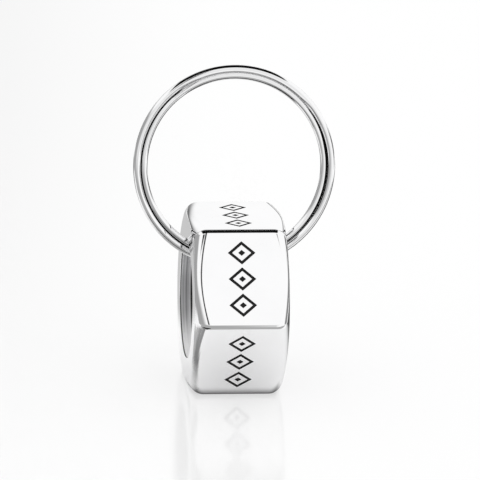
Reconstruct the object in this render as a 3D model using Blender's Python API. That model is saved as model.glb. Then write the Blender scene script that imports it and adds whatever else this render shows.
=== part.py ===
"""A hexagonal steel nut on a split ring, standing on one of its flats. Metres, +Z up.

The nut's bore runs along X and the flat it stands on is at z = 0. The split ring passes through
the bore and leans back towards +Y, its inner edge just clear of the two rounded mouths of the bore,
as when the ring is lifted. It is one wire of two turns: the first turn is the larger and lies in
front, the second nests inside and behind it, and both ends and the crossing are inside the bore.
"""

import math

import bmesh
import bpy

MM = 0.001

# Nut
ACROSS_FLATS = 25.5 * MM
NUT_LENGTH = 14.0 * MM
BORE_DIAMETER = 17.6 * MM
MOUTH_RADIUS = 0.5 * MM  # eases each mouth of the bore
END_FACE_DIAMETER = 24.2 * MM  # flat end face, inside the chamfer
CHAMFER_ANGLE = math.radians(25)  # from the end face to the chamfer cone
CHAMFER_RADIUS = 1.35 * MM  # eases the edge between the cone and the flats
LEAST_CONE_WIDTH = 0.1 * MM  # by the middle of each flat, where the easing reaches the end face
CORNER_RADIUS = 0.8 * MM  # eases the six long corners
SIDES = 6

# Split ring
RING_DIAMETER = 30.0 * MM  # outside
WIRE_DIAMETER = 1.05 * MM
TURN_GAP = 0.42 * MM  # clear gap between the two turns
NEST_ANGLE = math.radians(35)  # direction from the first turn's wire to the second's, out of the ring's plane
JOG_ANGLE = math.radians(30)  # stretch in which the wire crosses from one turn to the other
END_SETBACK = math.radians(2)  # from the jog to each free end
TAPER_ANGLE = math.radians(5)  # stretch in which each free end thins
END_THICKNESS_SHARE = 0.5  # of the wire's diameter, at the free ends
RING_LEAN = math.radians(10)
RING_CLEARANCE = 0.3 * MM  # from the wire to the mouths of the bore

# How finely the curved forms are divided
FLAT_STEPS = 10
CORNER_STEPS = 3
MOUTH_STEPS = 5
CHAMFER_STEPS = 4
STEPS_PER_TURN = 72
WIRE_BEVEL_RESOLUTION = 4

APOTHEM = ACROSS_FLATS / 2
FLAT_SPACING = math.tau / SIDES


def clear_scene():
    for obj in list(bpy.data.objects):
        bpy.data.objects.remove(obj, do_unlink=True)


def polished_steel(name, roughness):
    material = bpy.data.materials.new(name)
    material.use_nodes = True
    shader = material.node_tree.nodes["Principled BSDF"]
    shader.inputs["Base Color"].default_value = (0.80, 0.80, 0.81, 1.0)
    shader.inputs["Metallic"].default_value = 1.0
    shader.inputs["Roughness"].default_value = roughness
    return material


def turned(y, z, angle):
    return (
        y * math.cos(angle) - z * math.sin(angle),
        y * math.sin(angle) + z * math.cos(angle),
    )


def hexagon_outline():
    """Points (y, z) of the nut's section, round its axis, with rounded corners. The first flat faces +Z."""
    half_straight = (APOTHEM - CORNER_RADIUS) * math.tan(FLAT_SPACING / 2)
    corner_y, corner_z = half_straight, APOTHEM - CORNER_RADIUS
    one_side = []
    for step in range(FLAT_STEPS + 1):
        one_side.append((half_straight * (1 - 2 * step / FLAT_STEPS), APOTHEM))
    for step in range(1, CORNER_STEPS):
        angle = FLAT_SPACING * step / CORNER_STEPS
        y, z = turned(0, CORNER_RADIUS, angle)
        one_side.append((y - corner_y, z + corner_z))
    return [turned(y, z, side * FLAT_SPACING) for side in range(SIDES) for y, z in one_side]


def wall_half_profile(outer_radius):
    """Points (x, r) of the nut's wall from inside the bore out to the flat, for the half at +X."""
    end = NUT_LENGTH / 2
    bore = BORE_DIAMETER / 2
    points = []
    for step in range(MOUTH_STEPS + 1):
        angle = math.pi / 2 * step / MOUTH_STEPS
        x = end - MOUTH_RADIUS * (1 - math.sin(angle))
        r = bore + MOUTH_RADIUS * (1 - math.cos(angle))
        points.append((x, r))
    edge_angle = math.pi / 2 - CHAMFER_ANGLE
    edge_x = end - (outer_radius - END_FACE_DIAMETER / 2) * math.tan(CHAMFER_ANGLE)
    fillet_x = edge_x - CHAMFER_RADIUS * math.tan(edge_angle / 2)
    fillet_r = outer_radius - CHAMFER_RADIUS
    first_sine = min(math.sin(edge_angle), (end - fillet_x) / CHAMFER_RADIUS)
    first_angle = math.asin(first_sine)
    first_r = fillet_r + CHAMFER_RADIUS * math.cos(first_angle)
    points.append((end, min(END_FACE_DIAMETER / 2, first_r - LEAST_CONE_WIDTH)))
    for step in range(CHAMFER_STEPS + 1):
        angle = first_angle * (1 - step / CHAMFER_STEPS)
        x = fillet_x + CHAMFER_RADIUS * math.sin(angle)
        r = fillet_r + CHAMFER_RADIUS * math.cos(angle)
        points.append((x, r))
    return points


def make_nut(material):
    """The nut's wall profile, lofted round the bore while its outer side follows the hexagon."""
    mesh = bmesh.new()
    loops = []
    for y, z in hexagon_outline():
        outer_radius = math.hypot(y, z)
        half = wall_half_profile(outer_radius)
        profile = half + [(-x, r) for x, r in reversed(half)]
        across, up = y / outer_radius, z / outer_radius
        loops.append([mesh.verts.new((x, r * across, r * up)) for x, r in profile])
    for loop, following in zip(loops, loops[1:] + loops[:1]):
        for i, vertex in enumerate(loop):
            mesh.faces.new((vertex, loop[i - 1], following[i - 1], following[i]))
    bmesh.ops.recalc_face_normals(mesh, faces=mesh.faces)
    data = bpy.data.meshes.new("hex_nut")
    mesh.to_mesh(data)
    mesh.free()
    data.materials.append(material)
    data.shade_smooth()
    data.set_sharp_from_angle(angle=CHAMFER_ANGLE * 0.9)
    nut = bpy.data.objects.new("hex_nut", data)
    nut.location = (0, 0, APOTHEM)
    bpy.context.collection.objects.link(nut)
    return nut


def ring_centre_height():
    """How far the ring's centre is from the bore's axis, with the second turn's wire held clear of
    the rounded mouths by RING_CLEARANCE."""
    mouth_x = NUT_LENGTH / 2 - MOUTH_RADIUS
    mouth_r = BORE_DIAMETER / 2 + MOUTH_RADIUS
    reach = turn_radius(1) - WIRE_DIAMETER / 2 - RING_CLEARANCE - MOUTH_RADIUS
    return mouth_r + math.sqrt(reach**2 - mouth_x**2)


def turn_radius(share):
    """Radius of the wire's centreline: the first turn at share 0, the second at share 1."""
    step_in = (WIRE_DIAMETER + TURN_GAP) * math.cos(NEST_ANGLE)
    return (RING_DIAMETER - WIRE_DIAMETER) / 2 - step_in * share


def turn_depth(share):
    step_back = (WIRE_DIAMETER + TURN_GAP) * math.sin(NEST_ANGLE)
    return step_back * (share - 1 / 2)


def wire_path():
    """Points of the wire's centreline with its thickness there as a share of the wire's diameter.

    The angle is measured from the lowest point of the ring, where the wire crosses over.
    """
    last_angle = math.tau - JOG_ANGLE / 2 - END_SETBACK
    step_count = round(2 * last_angle / math.tau * STEPS_PER_TURN)
    centre = ring_centre_height()
    path = []
    for step in range(step_count + 1):
        angle = last_angle * (2 * step / step_count - 1)
        crossing = min(max(angle / JOG_ANGLE + 1 / 2, 0), 1)
        share = crossing**2 * (3 - 2 * crossing)
        radius = turn_radius(share)
        to_end = min((last_angle - abs(angle)) / TAPER_ANGLE, 1)
        thickness = END_THICKNESS_SHARE + (1 - END_THICKNESS_SHARE) * math.sin(to_end * math.pi / 2)
        place = (radius * math.sin(angle), turn_depth(share), centre - radius * math.cos(angle))
        path.append((place, thickness))
    return path


def least_gap(path):
    """Smallest clear distance between stretches of the wire that are half a turn or more apart."""
    least = math.inf
    for first, (place, _) in enumerate(path):
        for other, _ in path[first + STEPS_PER_TURN // 2 :]:
            least = min(least, math.dist(place, other))
    return least - WIRE_DIAMETER


def make_ring(material):
    path = wire_path()
    print(f"least gap between the ring's turns: {least_gap(path) / MM:.2f} mm")
    curve = bpy.data.curves.new("split_ring", "CURVE")
    curve.dimensions = "3D"
    curve.bevel_depth = WIRE_DIAMETER / 2
    curve.bevel_resolution = WIRE_BEVEL_RESOLUTION
    curve.use_fill_caps = True
    spline = curve.splines.new("POLY")
    spline.points.add(len(path) - 1)
    for point, (place, thickness) in zip(spline.points, path):
        point.co = (*place, 1)
        point.radius = thickness
    spline.use_smooth = True
    curve.materials.append(material)
    ring = bpy.data.objects.new("split_ring", curve)
    ring.location = (0, 0, APOTHEM)
    ring.rotation_euler = (-RING_LEAN, 0, 0)
    bpy.context.collection.objects.link(ring)
    return ring


clear_scene()
make_nut(polished_steel("nut_steel", roughness=0.08))
make_ring(polished_steel("ring_steel", roughness=0.06))
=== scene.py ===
"""Looks of a hexagonal steel nut on a split ring. Metres, +Z up, the nut's bore along X.

The nut and the ring replace the two CAD nodes. Round them are a white floor, a white world and
cards that only reflections show.
"""

import math

import bmesh
import bpy
from mathutils import Matrix, Vector


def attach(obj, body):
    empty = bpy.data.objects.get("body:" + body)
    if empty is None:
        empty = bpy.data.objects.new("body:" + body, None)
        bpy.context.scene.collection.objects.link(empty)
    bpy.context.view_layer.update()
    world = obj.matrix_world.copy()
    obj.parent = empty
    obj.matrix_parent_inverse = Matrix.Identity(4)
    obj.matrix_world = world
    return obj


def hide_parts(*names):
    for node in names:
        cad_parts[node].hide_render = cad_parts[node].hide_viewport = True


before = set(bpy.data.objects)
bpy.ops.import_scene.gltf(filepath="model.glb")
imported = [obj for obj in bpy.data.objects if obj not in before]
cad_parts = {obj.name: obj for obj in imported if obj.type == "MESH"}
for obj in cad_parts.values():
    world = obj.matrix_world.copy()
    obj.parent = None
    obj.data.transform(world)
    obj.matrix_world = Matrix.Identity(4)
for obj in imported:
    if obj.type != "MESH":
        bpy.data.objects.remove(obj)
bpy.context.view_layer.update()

MM = 0.001

# Nut. Unlike the CAD node, it has slightly crowned flats, softer long corners, sharper mouths of
# the bore and a rounded chamfer, and it is more finely divided.
ACROSS_FLATS = 25.5 * MM
APOTHEM = ACROSS_FLATS / 2
NUT_LENGTH = 14.0 * MM
BORE_DIAMETER = 17.6 * MM
MOUTH_RADIUS = 0.25 * MM  # eases each mouth of the bore
END_FACE_DIAMETER = 24.2 * MM  # flat end face, inside the chamfer
CHAMFER_LENGTH = 1.2 * MM  # along the bore, at the middle of a flat
CHAMFER_SPREAD = 0.55  # how much longer it gets per distance out towards a corner
CORNER_RADIUS = 0.95 * MM  # eases the six long corners
CROWN = 0.05 * MM  # how far the middle of a flat stands above its long edges
SHARP_ANGLE = math.radians(28)  # edges that bend more than this stay sharp
BORE_SLOT = 2  # the bore's place among the nut's materials
SIDES = 6
FLAT_SPACING = math.tau / SIDES
FLAT_STEPS = 28
CORNER_STEPS = 8
MOUTH_STEPS = 10
CHAMFER_STEPS = 14
LENGTH_STEPS = 14

# Engraved ornament on each flat: a chain of open lozenges round small blocks, filled with black
LOZENGE_COUNT = 3
LOZENGE_WIDTH = 4.1 * MM
LOZENGE_LENGTH = 3.5 * MM
LOZENGE_PITCH = 1.12  # from one to the next, as a share of their length
BLOCK_SHARE = 0.13  # half a block's width and length, as shares of the lozenge's
STROKE = 0.42 * MM
ENGRAVING_DEPTH = 0.15 * MM

# Split ring. Unlike the CAD node, it touches the mouths of the bore, its two turns nearly touch,
# and its wire is a little thicker.
RING_DIAMETER = 30.0 * MM
WIRE_DIAMETER = 1.10 * MM
RING_LEAN = math.radians(10)
RING_CLEARANCE = 0.03 * MM  # from the wire to the mouths of the bore
NEST_ANGLE = math.radians(18)  # from the first turn to the second, out of the ring's plane
TURN_GAP = 0.02 * MM  # clear gap between the two turns
JOG_ANGLE = math.radians(30)  # stretch in which the wire crosses from one turn to the other
END_SETBACK = math.radians(2)  # from the jog to each free end
TAPER_ANGLE = math.radians(5)  # stretch in which each free end thins
END_THICKNESS_SHARE = 0.5  # of the wire's diameter, at the free ends
STEPS_PER_TURN = 180
WIRE_SIDES = 36
SQUARENESS = 0.55  # of the turns' facing sides, over the top of the ring

# Painted shade in the seam between the turns, by height over the ring's centre as a share of the
# ring's radius. Each pair is where a change starts and where it is complete. The numbers after
# them are added to the attribute seam_shade, or taken from it where it narrows. Without them it
# is 1 where a turn faces the other one.
TOP_LEFT = (0.80, 0.93)
TOP_RIGHT = (0.60, 0.72)
WIDENING_RIGHT = (0.62, 0.20)
NARROWING_LOW_RIGHT = (-0.45, -0.75)
WIDER_LEFT = 0.14
WIDER_RIGHT = 0.36
NARROWER_LOW_RIGHT = 0.16
NARROWER_TOP = 0.6

# Polished steel. Smears are broad patches and hairlines are fine streaks. Each pair is the range
# of a noise or an attribute over which an effect sets in.
SMEAR_SCALE = 180.0
SMEAR_DULLS = (0.35, 0.75)
SMEAR_TINTS = (0.3, 0.8)
SMEAR_TINT = 0.975  # the colour under a smear, as a share of the steel's
HAIRLINE_STRETCH = 14  # how much finer the streaks are along the bore than across it
HAIRLINE_DULLS = (0.55, 0.8)
HAIRLINE_HEIGHT = 0.15  # against a smear's height
CLEAN_ROUGHNESS = 0.7  # this and the next two are shares of the steel's roughness
SMEAR_ROUGHNESS = 0.8
HAIRLINE_ROUGHNESS = 0.5
# Painted shade: over this range of the attribute seam_shade the ring's steel goes black
SEAM_SHADE_RANGE = (0.90, 0.97)
SEAM_ROUGHNESS = 0.5
SOFT_DULLS = (0.45, 0.90)
SOFT_ROUGHNESS = 0.22

# Turned bore: fine rings, a black ring of painted shade near each end and a painted dark line of
# shade at each mouth's edge. Near its top and bottom the bore is painted lighter and the ring of
# painted shade fades out. Depths are from the end faces, the deeper one first, and heights are
# from the bore's axis, up or down.
SHADE_RING_DEPTH = 1.5 * MM
SHADE_RING_OUTER_SIDE = (SHADE_RING_DEPTH * 1.15, SHADE_RING_DEPTH)
SHADE_RING_INNER_SIDE = (SHADE_RING_DEPTH * 1.5, SHADE_RING_DEPTH * 1.3)
MOUTH_SHADE_LINE = (MOUTH_RADIUS, MOUTH_RADIUS * 0.6)
SHADE_RING_FADES = (6.0 * MM, 8.5 * MM)
BORE_PAINTED_LIGHT = (4.0 * MM, 8.8 * MM)
TURNING_SCALE = (2600.0, 12.0, 12.0)
TURNING_SHADES = (0.35, 0.65)
TURNING_DULLS = (0.3, 0.7)
BORE_ROUGHNESS = (0.28, 0.42)
BORE_METALLIC = 0.7
LIGHT_ROUGHER = 0.4  # as a share of the roughness
LIGHT_METALLIC_CHANGE = -0.6

# Camera, with its distance and framing in pixels of a picture that is SENSOR_PX wide
AZIMUTH = math.radians(-6.85)
ELEVATION = math.radians(17.2)
ROLL = math.radians(1.7)
PIXEL = 0.148 * MM  # at the nut's centre
DISTANCE_PX = 6667
NUT_RIGHT_PX = -7.0  # from the picture's middle to the nut's centre
NUT_UP_PX = -57.5
SENSOR_PX = 480
SENSOR_WIDTH = 36
CLIP_START = 0.01
CLIP_END = 50

# Floor. Its glow is the share of its white that is its own, which keeps its shadow faint.
FLOOR_RADIUS = 6
FLOOR_SEGMENTS = 64
FLOOR_GLOW_SEEN = 0.66
FLOOR_GLOW_MIRRORED = 0.08
FLOOR_GLOSS = 0.18
FLOOR_ROUGHNESS = 0.12

# World. In reflections it is dimmer in front and at the left, up to some height. Each pair is the
# range, along one component of the direction, over which the dimming ends: upwards, from front to
# back, and to the right for the one in front and for the one at the left.
DIM_Z = (0.35, 0.60)
DIM_FRONT_Y = (-0.4, 0.1)
DIM_FRONT_X = (0.2, 0.6)
DIM_LEFT_X = (-0.9, -0.25)
FRONT_DIMMING = 0.15
LEFT_DIMMING = 0.5

# Cards: name, centre, facing, width, height, shade, softness of the left and right side, and of
# the lower and upper end
CARDS = [
    ("card_over", (0.0025, 0.06, 0.22), (0, 0, -1), 0.305, 0.48,
     0.005, (0.02, 0.02), (0.02, 0.09)),
    ("card_left", (-0.22, 0.03, 0.08), (1, 0, 0), 0.36, 0.22,
     0.36, (0.05, 0.05), (0.05, 0.05)),
    ("card_back_left", (-0.18, 0.30, 0.0), (0, -1, 0), 0.44, 0.32,
     0.15, (0.10, 0.10), (0.13, 0.13)),
    ("card_right", (0.28, -0.01, 0.05), (-1, 0, 0), 0.16, 0.14,
     0.25, (0.03, 0.03), (0.03, 0.03)),
    ("card_back_right", (0.27, 0.14, 0.02), (-0.89, -0.46, 0), 0.2, 0.12,
     0.05, (0.03, 0.03), (0.03, 0.03)),
    ("card_back_right_low", (0.38, 1.00, 0.05), (0, -1, 0), 0.60, 0.20,
     0.35, (0.07, 0.07), (0.04, 0.04)),
    ("card_front_left", (-0.019, -0.10, 0.101), (0, 0.7, -0.7), 0.030, 0.055,
     0.05, (0.0075, 0.0075), (0.006, 0.006)),
    ("card_front_low", (-0.116, -0.055, 0.0), (0, 1, 0), 0.268, 0.084,
     0.40, (0.018, 0.06), (0.014, 0.014)),
]

# The same for the cards just over the floor, which all face up. The last value of one is its turn
# in degrees.
UP = (0, 0, 1)
FLOOR_CARDS = [
    ("card_floor_front", (0.02, -0.0745, 0.0004), 0.3, 0.105,
     0.42, (0.03, 0.03), (0.008, 0.008)),
    ("card_floor_left", (-0.0199, -0.0090, 0.0005), 0.0282, 0.0120,
     0.10, (0.0277, 0.0015), (0.003, 0.012)),
    ("card_floor_left_front", (-0.02125, -0.0525, 0.0005), 0.0255, 0.0650,
     0.10, (0.0240, 0.0025), (0.02, 0.010)),
    ("card_floor_left_slant", (-0.04556, -0.01886, 0.00055), 0.055, 0.060,
     0.20, (0.065, 0.0015), (0.02, 0.004), -37.5),
    ("card_floor_left_back", (-0.0215, 0.0060, 0.0006), 0.021, 0.040,
     0.45, (0.008, 0.004), (0.010, 0.012)),
    ("card_floor_front_left", (-0.028, -0.052, 0.0007), 0.052, 0.044,
     0.0, (0.006, 0.006), (0.006, 0.006)),
    # Painted shade: a dark card under the nut stands in for its contact shadow in reflections
    ("card_floor_contact_shade", (0.00035, -0.00325, 0.0001), 0.0163, 0.0105,
     0.10, (0.002, 0.003), (0.0014, 0.002)),
    ("card_floor_back_left", (-0.13, 0.09, 0.0005), 0.21, 0.15,
     0.25, (0.03, 0.03), (0.03, 0.03)),
    ("card_floor_back", (0.01, 0.14, 0.0006), 0.10, 0.24,
     0.58, (0.015, 0.015), (0.015, 0.015)),
    ("card_floor_back_right", (0.070, 0.052, 0.0007), 0.12, 0.136,
     0.10, (0.006, 0.02), (0.030, 0.02)),
]


def new_object(name, data):
    obj = bpy.data.objects.new(name, data)
    bpy.context.scene.collection.objects.link(obj)
    return obj


def mesh_object(name, mesh, *materials):
    data = bpy.data.meshes.new(name)
    mesh.to_mesh(data)
    mesh.free()
    for material in materials:
        data.materials.append(material)
    return new_object(name, data)


def add_camera():
    out = Vector((
        math.sin(AZIMUTH) * math.cos(ELEVATION),
        -math.cos(AZIMUTH) * math.cos(ELEVATION),
        math.sin(ELEVATION),
    ))
    level = Vector((math.cos(AZIMUTH), math.sin(AZIMUTH), 0))
    steep = out.cross(level)
    right = math.cos(ROLL) * level + math.sin(ROLL) * steep
    up = math.cos(ROLL) * steep - math.sin(ROLL) * level
    nut_centre = Vector((0, 0, APOTHEM))
    data = bpy.data.cameras.new("camera")
    data.sensor_width = SENSOR_WIDTH
    data.lens = SENSOR_WIDTH * DISTANCE_PX / SENSOR_PX
    data.clip_start = CLIP_START
    data.clip_end = CLIP_END
    camera = new_object("camera", data)
    place = nut_centre + PIXEL * (DISTANCE_PX * out - NUT_RIGHT_PX * right - NUT_UP_PX * up)
    turn = Matrix((right, up, out)).transposed().to_4x4()
    camera.matrix_world = Matrix.Translation(place) @ turn
    bpy.context.scene.camera = camera


class Nodes:
    """Short calls for building a node tree. All but add and link return an output."""

    def __init__(self, tree):
        self.tree = tree

    def link(self, output, socket):
        self.tree.links.new(output, socket)

    def add(self, kind, settings=None, **inputs):
        """A new node. Its inputs are named, with _ for a space, or numbered as _0, _1, _2."""
        node = self.tree.nodes.new(kind)
        for key, value in (settings or {}).items():
            setattr(node, key, value)
        for key, value in inputs.items():
            numbered = key[0] == "_" and key[1:].isdigit()
            socket = node.inputs[int(key[1:]) if numbered else key.replace("_", " ")]
            if isinstance(value, bpy.types.NodeSocket):
                self.link(value, socket)
            else:
                socket.default_value = value
        return node

    def math(self, operation, *values):
        inputs = {f"_{i}": value for i, value in enumerate(values)}
        return self.add("ShaderNodeMath", {"operation": operation}, **inputs).outputs[0]

    def smooth(self, value, low, high, to_low=0.0, to_high=1.0):
        """Eases from to_low at low to to_high at high."""
        ends = {"From_Min": low, "From_Max": high, "To_Min": to_low, "To_Max": to_high}
        easing = {"interpolation_type": "SMOOTHSTEP"}
        return self.add("ShaderNodeMapRange", easing, Value=value, **ends).outputs[0]

    def fade(self, value, low, high):
        return self.smooth(value, low, high, 1.0, 0.0)

    def mix(self, factor, first, second):
        settings = {"data_type": "RGBA"}
        node = self.add("ShaderNodeMix", settings, Factor=factor, A=first, B=second)
        return node.outputs["Result"]

    def place(self):
        return self.add("ShaderNodeTexCoord").outputs["Object"]

    def split(self, vector):
        return self.add("ShaderNodeSeparateXYZ", Vector=vector).outputs

    def stretched(self, place, scale):
        return self.add("ShaderNodeMapping", Vector=place, Scale=scale).outputs[0]

    def noise(self, place, scale, detail, roughness):
        look = {"Scale": scale, "Detail": detail, "Roughness": roughness}
        return self.add("ShaderNodeTexNoise", Vector=place, **look).outputs["Fac"]

    def attribute(self, name):
        return self.add("ShaderNodeAttribute", {"attribute_name": name}).outputs["Fac"]

    def bump(self, height, strength, distance):
        look = {"Strength": strength, "Distance": distance}
        return self.add("ShaderNodeBump", Height=height, **look).outputs[0]

    def surface(self, shader):
        self.link(shader, self.tree.nodes["Material Output"].inputs["Surface"])


def material_nodes(name):
    material = bpy.data.materials.new(name)
    material.use_nodes = True
    return material, Nodes(material.node_tree), material.node_tree.nodes["Principled BSDF"]


def stage_nodes(name):
    """A material whose surface is still to be made."""
    material, nodes, shader = material_nodes(name)
    nodes.tree.nodes.remove(shader)
    return material, nodes


def grey(level):
    return (level, level, level, 1)


def polished_steel(name, colour, roughness, grain_scale, bump, seam_shade=False):
    """Polished steel with faint smears and hairlines. With seam_shade, it is painted black as
    shade where the mesh's attribute seam_shade nears 1 and dulls where the attribute soft does."""
    material, nodes, shader = material_nodes(name)
    place = nodes.place()
    smear = nodes.noise(place, scale=SMEAR_SCALE, detail=3.0, roughness=0.6)
    grain = nodes.stretched(place, (grain_scale * HAIRLINE_STRETCH, grain_scale, grain_scale))
    hairline = nodes.noise(grain, scale=1.0, detail=4.0, roughness=0.7)
    smeared = nodes.smooth(smear, *SMEAR_DULLS)
    clean = roughness * CLEAN_ROUGHNESS
    rough = nodes.math("MULTIPLY_ADD", smeared, roughness * SMEAR_ROUGHNESS, clean)
    scratched = nodes.smooth(hairline, *HAIRLINE_DULLS)
    rough = nodes.math("MULTIPLY_ADD", scratched, roughness * HAIRLINE_ROUGHNESS, rough)
    tinted = (*(c * SMEAR_TINT for c in colour), 1)
    shade = nodes.mix(nodes.smooth(smear, *SMEAR_TINTS), (*colour, 1), tinted)
    if seam_shade:
        # Painted shade: where the turns face each other the steel goes black, dull and not metallic
        painted_seam_shade = nodes.smooth(nodes.attribute("seam_shade"), *SEAM_SHADE_RANGE)
        dull = nodes.smooth(nodes.attribute("soft"), *SOFT_DULLS)
        rough = nodes.math("MULTIPLY_ADD", painted_seam_shade, SEAM_ROUGHNESS, rough)
        rough = nodes.math("MULTIPLY_ADD", dull, SOFT_ROUGHNESS, rough)
        shade = nodes.mix(painted_seam_shade, shade, grey(0.01))
        nodes.link(nodes.math("SUBTRACT", 1.0, painted_seam_shade), shader.inputs["Metallic"])
        shader.inputs["Specular IOR Level"].default_value = 0.0
    else:
        shader.inputs["Metallic"].default_value = 1.0
    nodes.link(rough, shader.inputs["Roughness"])
    nodes.link(shade, shader.inputs["Base Color"])
    height = nodes.math("MULTIPLY_ADD", hairline, HAIRLINE_HEIGHT, smear)
    nodes.link(nodes.bump(height, bump, distance=0.01 * MM), shader.inputs["Normal"])
    return material


def from_middle(depths):
    """Depths from the nut's end faces as distances from its middle."""
    return [NUT_LENGTH / 2 - depth for depth in depths]


def turned_bore():
    """Steel left by the lathe, duller than the polished outside, with painted light and shade."""
    material, nodes, shader = material_nodes("turned_bore")
    place = nodes.place()
    rings = nodes.noise(
        nodes.stretched(place, TURNING_SCALE), scale=1.0, detail=5.0, roughness=0.7
    )
    along, _, up = nodes.split(place)
    distance = nodes.math("ABSOLUTE", along)
    height = nodes.math("ABSOLUTE", nodes.math("SUBTRACT", up, APOTHEM))
    # Painted light: the bore is made lighter, rougher and less metallic near its top and bottom
    light = nodes.smooth(height, *BORE_PAINTED_LIGHT)
    shade = nodes.smooth(rings, *TURNING_SHADES)
    shade = nodes.mix(shade, (0.25, 0.25, 0.26, 1), (0.80, 0.80, 0.81, 1))
    shade = nodes.mix(light, shade, grey(1.0))
    # Painted shade: a black ring just inside each mouth, fading out near the top and bottom
    outside = nodes.smooth(distance, *from_middle(SHADE_RING_OUTER_SIDE))
    inside = nodes.fade(distance, *from_middle(SHADE_RING_INNER_SIDE))
    beside_shade_ring = nodes.math("MAXIMUM", outside, inside)
    clear = nodes.math("MAXIMUM", beside_shade_ring, nodes.smooth(height, *SHADE_RING_FADES))
    # Painted shade: a dark line on the bore's part of each mouth's rounding
    clear = nodes.math("MULTIPLY", clear, nodes.fade(distance, *from_middle(MOUTH_SHADE_LINE)))
    nodes.link(nodes.mix(clear, grey(0.02), shade), shader.inputs["Base Color"])
    rough = nodes.smooth(rings, *TURNING_DULLS, *BORE_ROUGHNESS)
    rougher = nodes.math("MULTIPLY_ADD", light, LIGHT_ROUGHER, 1.0)
    nodes.link(nodes.math("MULTIPLY", rough, rougher), shader.inputs["Roughness"])
    metallic = nodes.math("MULTIPLY_ADD", light, LIGHT_METALLIC_CHANGE, BORE_METALLIC)
    nodes.link(metallic, shader.inputs["Metallic"])
    nodes.link(nodes.bump(rings, strength=0.5, distance=0.02 * MM), shader.inputs["Normal"])
    return material


def black_fill():
    """The black in the engraving, slightly grainy."""
    material, nodes, shader = material_nodes("black_fill")
    grain = nodes.noise(nodes.place(), scale=5000.0, detail=3.0, roughness=0.5)
    nodes.link(nodes.mix(grain, grey(0.004), grey(0.012)), shader.inputs["Base Color"])
    rough = nodes.smooth(grain, low=0.3, high=0.7, to_low=0.35, to_high=0.55)
    nodes.link(rough, shader.inputs["Roughness"])
    nodes.link(nodes.bump(grain, strength=0.3, distance=0.01 * MM), shader.inputs["Normal"])
    shader.inputs["Specular IOR Level"].default_value = 0.3
    return material


def turned(y, z, angle):
    return y * math.cos(angle) - z * math.sin(angle), y * math.sin(angle) + z * math.cos(angle)


def hexagon_outline():
    """Points (y, z) round the nut's section with rounded corners. The first flat faces +Z."""
    half_straight = (APOTHEM - CORNER_RADIUS) * math.tan(FLAT_SPACING / 2)
    one_side = []
    for step in range(FLAT_STEPS + 1):
        share = math.cos(math.pi * step / FLAT_STEPS)
        one_side.append((half_straight * share, APOTHEM - CROWN * share**2))
    for step in range(1, CORNER_STEPS):
        angle = FLAT_SPACING * step / CORNER_STEPS
        y, z = turned(0, CORNER_RADIUS, angle)
        one_side.append((y - half_straight, z + APOTHEM - CORNER_RADIUS - CROWN))
    return [turned(y, z, side * FLAT_SPACING) for side in range(SIDES) for y, z in one_side]


def wall_half_profile(outer_radius):
    """Points (x, r) of the nut's wall for the half at +X, from inside the bore, round its mouth
    and the chamfer, to just before the middle of the flat."""
    end = NUT_LENGTH / 2
    bore = BORE_DIAMETER / 2
    points = []
    for step in range(MOUTH_STEPS + 1):
        angle = math.pi / 2 * step / MOUTH_STEPS
        x = end - MOUTH_RADIUS * (1 - math.sin(angle))
        points.append((x, bore + MOUTH_RADIUS * (1 - math.cos(angle))))
    round_x = CHAMFER_LENGTH + CHAMFER_SPREAD * (outer_radius - APOTHEM)
    round_r = outer_radius - END_FACE_DIAMETER / 2
    for step in range(CHAMFER_STEPS + 1):
        angle = math.pi / 2 * (1 - step / CHAMFER_STEPS)
        x = end - round_x * (1 - math.sin(angle))
        points.append((x, outer_radius - round_r * (1 - math.cos(angle))))
    flat_end = end - round_x
    for step in range(1, LENGTH_STEPS // 2):
        points.append((flat_end * math.cos(math.pi * step / LENGTH_STEPS), outer_radius))
    return points


def nut_body():
    """The nut's wall profile, lofted round the bore while its outer side follows the hexagon."""
    bore_limit = BORE_DIAMETER / 2 + MOUTH_RADIUS / 4  # faces nearer the axis have the bore's look
    mesh = bmesh.new()
    loops = []
    for y, z in hexagon_outline():
        outer_radius = math.hypot(y, z)
        half = wall_half_profile(outer_radius)
        profile = half + [(0, outer_radius)] + [(-x, r) for x, r in reversed(half)]
        across, up = y / outer_radius, z / outer_radius
        loops.append([mesh.verts.new((x, r * across, r * up + APOTHEM)) for x, r in profile])
    for loop, following in zip(loops, loops[1:] + loops[:1]):
        for i, vertex in enumerate(loop):
            face = mesh.faces.new((vertex, loop[i - 1], following[i - 1], following[i]))
            middle = face.calc_center_median()
            if math.hypot(middle.y, middle.z - APOTHEM) < bore_limit:
                face.material_index = BORE_SLOT
    bmesh.ops.recalc_face_normals(mesh, faces=mesh.faces)
    return mesh


def lozenge_corners(half_x, half_y):
    return [(half_x, 0), (0, half_y), (-half_x, 0), (0, -half_y)]


def lozenge_frame(mesh, centre_y, half_x, half_y, bottom, top, turn):
    """An open lozenge that stands from bottom to top over the top flat, turned round the bore."""
    inner = 1 - STROKE * (math.hypot(half_x, half_y) / (half_x * half_y))
    rings = []
    for share, height in ((1, bottom), (1, top), (inner, top), (inner, bottom)):
        ring = []
        for x, y in lozenge_corners(half_x, half_y):
            turned_y, turned_z = turned(y * share + centre_y, height, turn)
            ring.append(mesh.verts.new((x * share, turned_y, turned_z + APOTHEM)))
        rings.append(ring)
    for ring, following in zip(rings, rings[1:] + rings[:1]):
        for i in range(len(ring)):
            mesh.faces.new((ring[i - 1], ring[i], following[i], following[i - 1]))


def lozenge_block(mesh, centre_y, half_x, half_y, bottom, top, turn):
    """The same for a solid lozenge."""
    low, high = [], []
    for x, y in lozenge_corners(half_x, half_y):
        for ring, height in ((low, bottom), (high, top)):
            turned_y, turned_z = turned(y + centre_y, height, turn)
            ring.append(mesh.verts.new((x, turned_y, turned_z + APOTHEM)))
    mesh.faces.new(low[::-1])
    mesh.faces.new(high)
    for i in range(len(low)):
        mesh.faces.new((low[i - 1], low[i], high[i], high[i - 1]))


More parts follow.
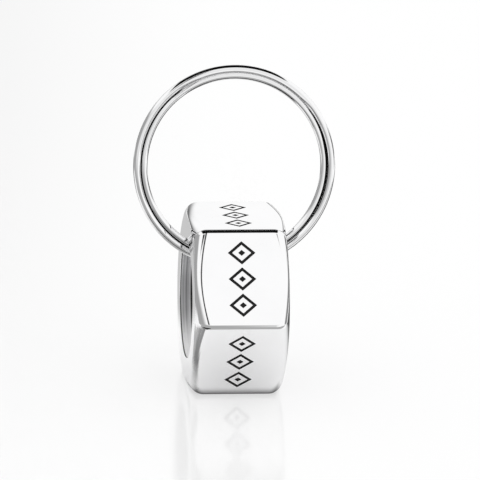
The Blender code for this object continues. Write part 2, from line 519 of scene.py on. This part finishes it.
def engraving_cutter(material):
    mesh = bmesh.new()
    frame_half = LOZENGE_WIDTH / 2, LOZENGE_LENGTH / 2
    block_half = LOZENGE_WIDTH * BLOCK_SHARE, LOZENGE_LENGTH * BLOCK_SHARE
    for side in range(SIDES):
        span = APOTHEM - ENGRAVING_DEPTH, APOTHEM + ENGRAVING_DEPTH, side * FLAT_SPACING
        for i in range(LOZENGE_COUNT):
            centre_y = (i - (LOZENGE_COUNT - 1) / 2) * LOZENGE_LENGTH * LOZENGE_PITCH
            lozenge_frame(mesh, centre_y, *frame_half, *span)
            lozenge_block(mesh, centre_y, *block_half, *span)
    bmesh.ops.recalc_face_normals(mesh, faces=mesh.faces)
    return mesh_object("cutter", mesh, material)


def make_nut():
    steel = polished_steel(
        "nut_polish", colour=(0.97, 0.97, 0.975), roughness=0.05, grain_scale=900, bump=0.25
    )
    black = black_fill()
    nut = mesh_object("engraved_nut", nut_body(), steel, black, turned_bore())
    cutter = engraving_cutter(black)
    cut = nut.modifiers.new("engrave", "BOOLEAN")
    cut.object = cutter
    cut.operation = "DIFFERENCE"
    cut.solver = "EXACT"
    cut.material_mode = "TRANSFER"
    with bpy.context.temp_override(object=nut, active_object=nut, selected_objects=[nut]):
        bpy.ops.object.modifier_apply(modifier=cut.name)
    bpy.data.objects.remove(cutter, do_unlink=True)
    nut.data.shade_smooth()
    nut.data.set_sharp_from_angle(angle=SHARP_ANGLE)
    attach(nut, "nut")
    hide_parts("hex_nut")


def turn_radius(share):
    """Radius of the wire's centreline: the first turn at share 0, the second at share 1."""
    step_in = (WIRE_DIAMETER + TURN_GAP) * math.cos(NEST_ANGLE)
    return (RING_DIAMETER - WIRE_DIAMETER) / 2 - step_in * share


def turn_depth(share):
    return (WIRE_DIAMETER + TURN_GAP) * math.sin(NEST_ANGLE) * (share - 1 / 2)


def ring_centre_height():
    """How far the ring's centre is from the bore's axis, with the second turn's wire held clear
    of the rounded mouths by RING_CLEARANCE."""
    mouth_x = NUT_LENGTH / 2 - MOUTH_RADIUS
    mouth_r = BORE_DIAMETER / 2 + MOUTH_RADIUS
    reach = turn_radius(1) - WIRE_DIAMETER / 2 - RING_CLEARANCE - MOUTH_RADIUS
    return mouth_r + math.sqrt(reach**2 - mouth_x**2)


def wire_path():
    """Points of the wire's centreline with its thickness there as a share of the wire's diameter.

    The angle is measured from the lowest point of the ring, where the wire crosses over.
    """
    last_angle = math.tau - JOG_ANGLE / 2 - END_SETBACK
    step_count = round(2 * last_angle / math.tau * STEPS_PER_TURN)
    centre = ring_centre_height()
    path = []
    for step in range(step_count + 1):
        angle = last_angle * (2 * step / step_count - 1)
        crossing = min(max(angle / JOG_ANGLE + 1 / 2, 0), 1)
        share = crossing**2 * (3 - 2 * crossing)
        radius = turn_radius(share)
        to_end = min((last_angle - abs(angle)) / TAPER_ANGLE, 1)
        thickness = END_THICKNESS_SHARE + (1 - END_THICKNESS_SHARE) * math.sin(to_end * math.pi / 2)
        height = centre - radius * math.cos(angle)
        path.append((Vector((radius * math.sin(angle), turn_depth(share), height)), thickness))
    return path


def seam_direction(index, path):
    """Unit vector from this point of the wire towards the other turn."""
    place = path[index][0]
    turn = STEPS_PER_TURN if index < len(path) / 2 else -STEPS_PER_TURN
    other = path[min(max(index + turn, 0), len(path) - 1)][0]
    return (other - place).normalized()


def ramp(value, low, high):
    return min(max((value - low) / (high - low), 0), 1)


def seam_looks(out):
    """What to add to the attribute seam_shade, painted shade between the turns, at this place,
    seen from the ring's centre, and how far the turns' facing sides are softened, from 0 to 1."""
    right = out.x / out.length
    over = out.z / out.length
    if right < 0:
        top = ramp(over, *TOP_LEFT)
        wider = WIDER_LEFT
    else:
        top = ramp(over, *TOP_RIGHT)
        wider = WIDER_RIGHT * ramp(over, *WIDENING_RIGHT)
        wider -= NARROWER_LOW_RIGHT * ramp(over, *NARROWING_LOW_RIGHT)
    return wider * (1 - top) - NARROWER_TOP * top, top


def squared(share, amount):
    """Turns a circle's coordinate into that of a squarer outline, by this amount of 0 to 1."""
    return math.copysign(abs(share) ** (1 - SQUARENESS * amount), share)


def ring_mesh():
    """A tube swept along the two turns, closed by a flat face at each end, and the values of its
    two attributes by vertex."""
    path = wire_path()
    lean = Matrix.Rotation(-RING_LEAN, 3, "X")
    lift = Vector((0, 0, APOTHEM))
    centre = Vector((0, 0, ring_centre_height()))
    mesh = bmesh.new()
    loops, seam_shades, softs = [], [], []
    for i, (place, thickness) in enumerate(path):
        to_other = seam_direction(i, path)
        along = (path[min(i + 1, len(path) - 1)][0] - path[max(i - 1, 0)][0]).normalized()
        outward = place - centre
        outward = (outward - outward.dot(along) * along).normalized()
        aside = along.cross(outward)
        wider, soft = seam_looks(place - centre)
        loop = []
        for side in range(WIRE_SIDES):
            angle = math.tau * side / WIRE_SIDES
            amount = soft if math.cos(angle) * outward.dot(to_other) > 0 else 0
            offset = outward * squared(math.cos(angle), amount)
            offset = offset + aside * squared(math.sin(angle), amount)
            point = lean @ (place + offset * thickness * WIRE_DIAMETER / 2)
            loop.append(mesh.verts.new(point + lift))
            # Painted shade: how dark the seam between the turns is painted here
            seam_shades.append(max(offset.dot(to_other) + wider, 0))
            softs.append(max(offset.dot(to_other), 0) * soft)
        loops.append(loop)
    for loop, following in zip(loops, loops[1:]):
        for i in range(WIRE_SIDES):
            mesh.faces.new((loop[i - 1], loop[i], following[i], following[i - 1]))
    mesh.faces.new(loops[0])
    mesh.faces.new(loops[-1])
    bmesh.ops.recalc_face_normals(mesh, faces=mesh.faces)
    return mesh, {"seam_shade": seam_shades, "soft": softs}


def make_ring():
    mesh, attributes = ring_mesh()
    steel = polished_steel(
        "ring_polish",
        colour=(0.95, 0.95, 0.955),
        roughness=0.06,
        grain_scale=700,
        bump=0.2,
        seam_shade=True,
    )
    ring = mesh_object("ring_coil", mesh, steel)
    for name, values in attributes.items():
        ring.data.attributes.new(name, "FLOAT", "POINT").data.foreach_set("value", values)
    ring.data.shade_smooth()
    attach(ring, "ring")
    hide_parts("split_ring")


def add_floor():
    """A white sheet with a faint mirror image, which only the camera sees."""
    mesh = bmesh.new()
    bmesh.ops.create_circle(mesh, cap_ends=True, radius=FLOOR_RADIUS, segments=FLOOR_SEGMENTS)
    material, nodes = stage_nodes("floor")
    ray = nodes.add("ShaderNodeLightPath").outputs
    mirrored = nodes.math("MAXIMUM", ray["Is Glossy Ray"], ray["Is Transmission Ray"])
    glow_share = nodes.math("MULTIPLY", mirrored, FLOOR_GLOW_MIRRORED)
    glow_share = nodes.math("MULTIPLY_ADD", ray["Is Camera Ray"], FLOOR_GLOW_SEEN, glow_share)
    least_share = nodes.math("MAXIMUM", glow_share, FLOOR_GLOW_MIRRORED)
    albedo = nodes.math("SUBTRACT", 1.0, least_share)
    white = nodes.add("ShaderNodeBsdfDiffuse", Color=albedo).outputs[0]
    glow = nodes.add("ShaderNodeEmission", Color=grey(1), Strength=glow_share).outputs[0]
    lit = nodes.add("ShaderNodeAddShader", _0=white, _1=glow).outputs[0]
    gloss = nodes.add("ShaderNodeBsdfGlossy", Color=grey(1), Roughness=FLOOR_ROUGHNESS)
    gloss_share = nodes.math("MULTIPLY", ray["Is Camera Ray"], FLOOR_GLOSS)
    surface = {"_0": gloss_share, "_1": lit, "_2": gloss.outputs[0]}
    nodes.surface(nodes.add("ShaderNodeMixShader", **surface).outputs[0])
    mesh_object("floor", mesh, material)


def card_material(name, width, height, shade, soft_sides, soft_ends):
    """Glows in one shade on the card's front, and fades out towards its edges."""
    material, nodes = stage_nodes(name)
    place = nodes.split(nodes.place())
    behind = nodes.add("ShaderNodeNewGeometry").outputs["Backfacing"]
    mask = nodes.math("SUBTRACT", 1.0, behind)
    for axis, size, (soft_low, soft_high) in ((0, width, soft_sides), (1, height, soft_ends)):
        low = nodes.smooth(place[axis], -size / 2, -size / 2 + soft_low)
        high = nodes.fade(place[axis], size / 2 - soft_high, size / 2)
        mask = nodes.math("MULTIPLY", nodes.math("MULTIPLY", mask, low), high)
    clear = nodes.add("ShaderNodeBsdfTransparent").outputs[0]
    glow = nodes.add("ShaderNodeEmission", Color=grey(shade), Strength=1.0).outputs[0]
    nodes.surface(nodes.add("ShaderNodeMixShader", _0=mask, _1=clear, _2=glow).outputs[0])
    return material


def add_card(name, centre, facing, width, height, shade, soft_sides, soft_ends, turn=0.0):
    """A card that only reflections show. Seen from where it faces, its width runs to the right
    and its height up, or towards +Y where it lies level, and it is turned anticlockwise."""
    mesh = bmesh.new()
    bmesh.ops.create_grid(mesh, x_segments=1, y_segments=1, size=0.5)
    bmesh.ops.scale(mesh, vec=(width, height, 1), verts=mesh.verts)
    material = card_material(name, width, height, shade, soft_sides, soft_ends)
    card = mesh_object(name, mesh, material)
    out = Vector(facing).normalized()
    level = abs(out.z) > 0.9
    up = Vector((0, 1, 0)) if level else Vector((0, 0, 1))
    right = up.cross(out).normalized()
    up = out.cross(right)
    axes = Matrix((right, up, out)).transposed() @ Matrix.Rotation(math.radians(turn), 3, "Z")
    card.matrix_world = Matrix.Translation(centre) @ axes.to_4x4()
    for kind in ("camera", "diffuse", "transmission", "volume_scatter", "shadow"):
        setattr(card, f"visible_{kind}", False)


def add_cards():
    for card in CARDS:
        add_card(*card)
    for name, centre, *rest in FLOOR_CARDS:
        add_card(name, centre, UP, *rest)


def add_world():
    """White all round, a little dimmer in reflections in front and at the left."""
    world = bpy.data.worlds.new("studio")
    bpy.context.scene.world = world
    world.use_nodes = True
    nodes = Nodes(world.node_tree)
    x, y, z = nodes.split(nodes.add("ShaderNodeTexCoord").outputs["Generated"])
    low = nodes.fade(z, *DIM_Z)
    front = nodes.math("MULTIPLY", nodes.fade(y, *DIM_FRONT_Y), low)
    front = nodes.math("MULTIPLY", front, nodes.fade(x, *DIM_FRONT_X))
    left = nodes.math("MULTIPLY", nodes.fade(x, *DIM_LEFT_X), low)
    light = nodes.math("SUBTRACT", 1.0, nodes.math("MULTIPLY", front, FRONT_DIMMING))
    light = nodes.math("SUBTRACT", light, nodes.math("MULTIPLY", left, LEFT_DIMMING))
    change = nodes.math("SUBTRACT", light, 1.0)
    glossy = nodes.add("ShaderNodeLightPath").outputs["Is Glossy Ray"]
    background = world.node_tree.nodes["Background"]
    background.inputs["Color"].default_value = grey(1)
    nodes.link(nodes.math("MULTIPLY_ADD", change, glossy, 1.0), background.inputs["Strength"])


bpy.context.scene.view_settings.view_transform = "Standard"
add_camera()
make_nut()
make_ring()
add_floor()
add_world()
add_cards()
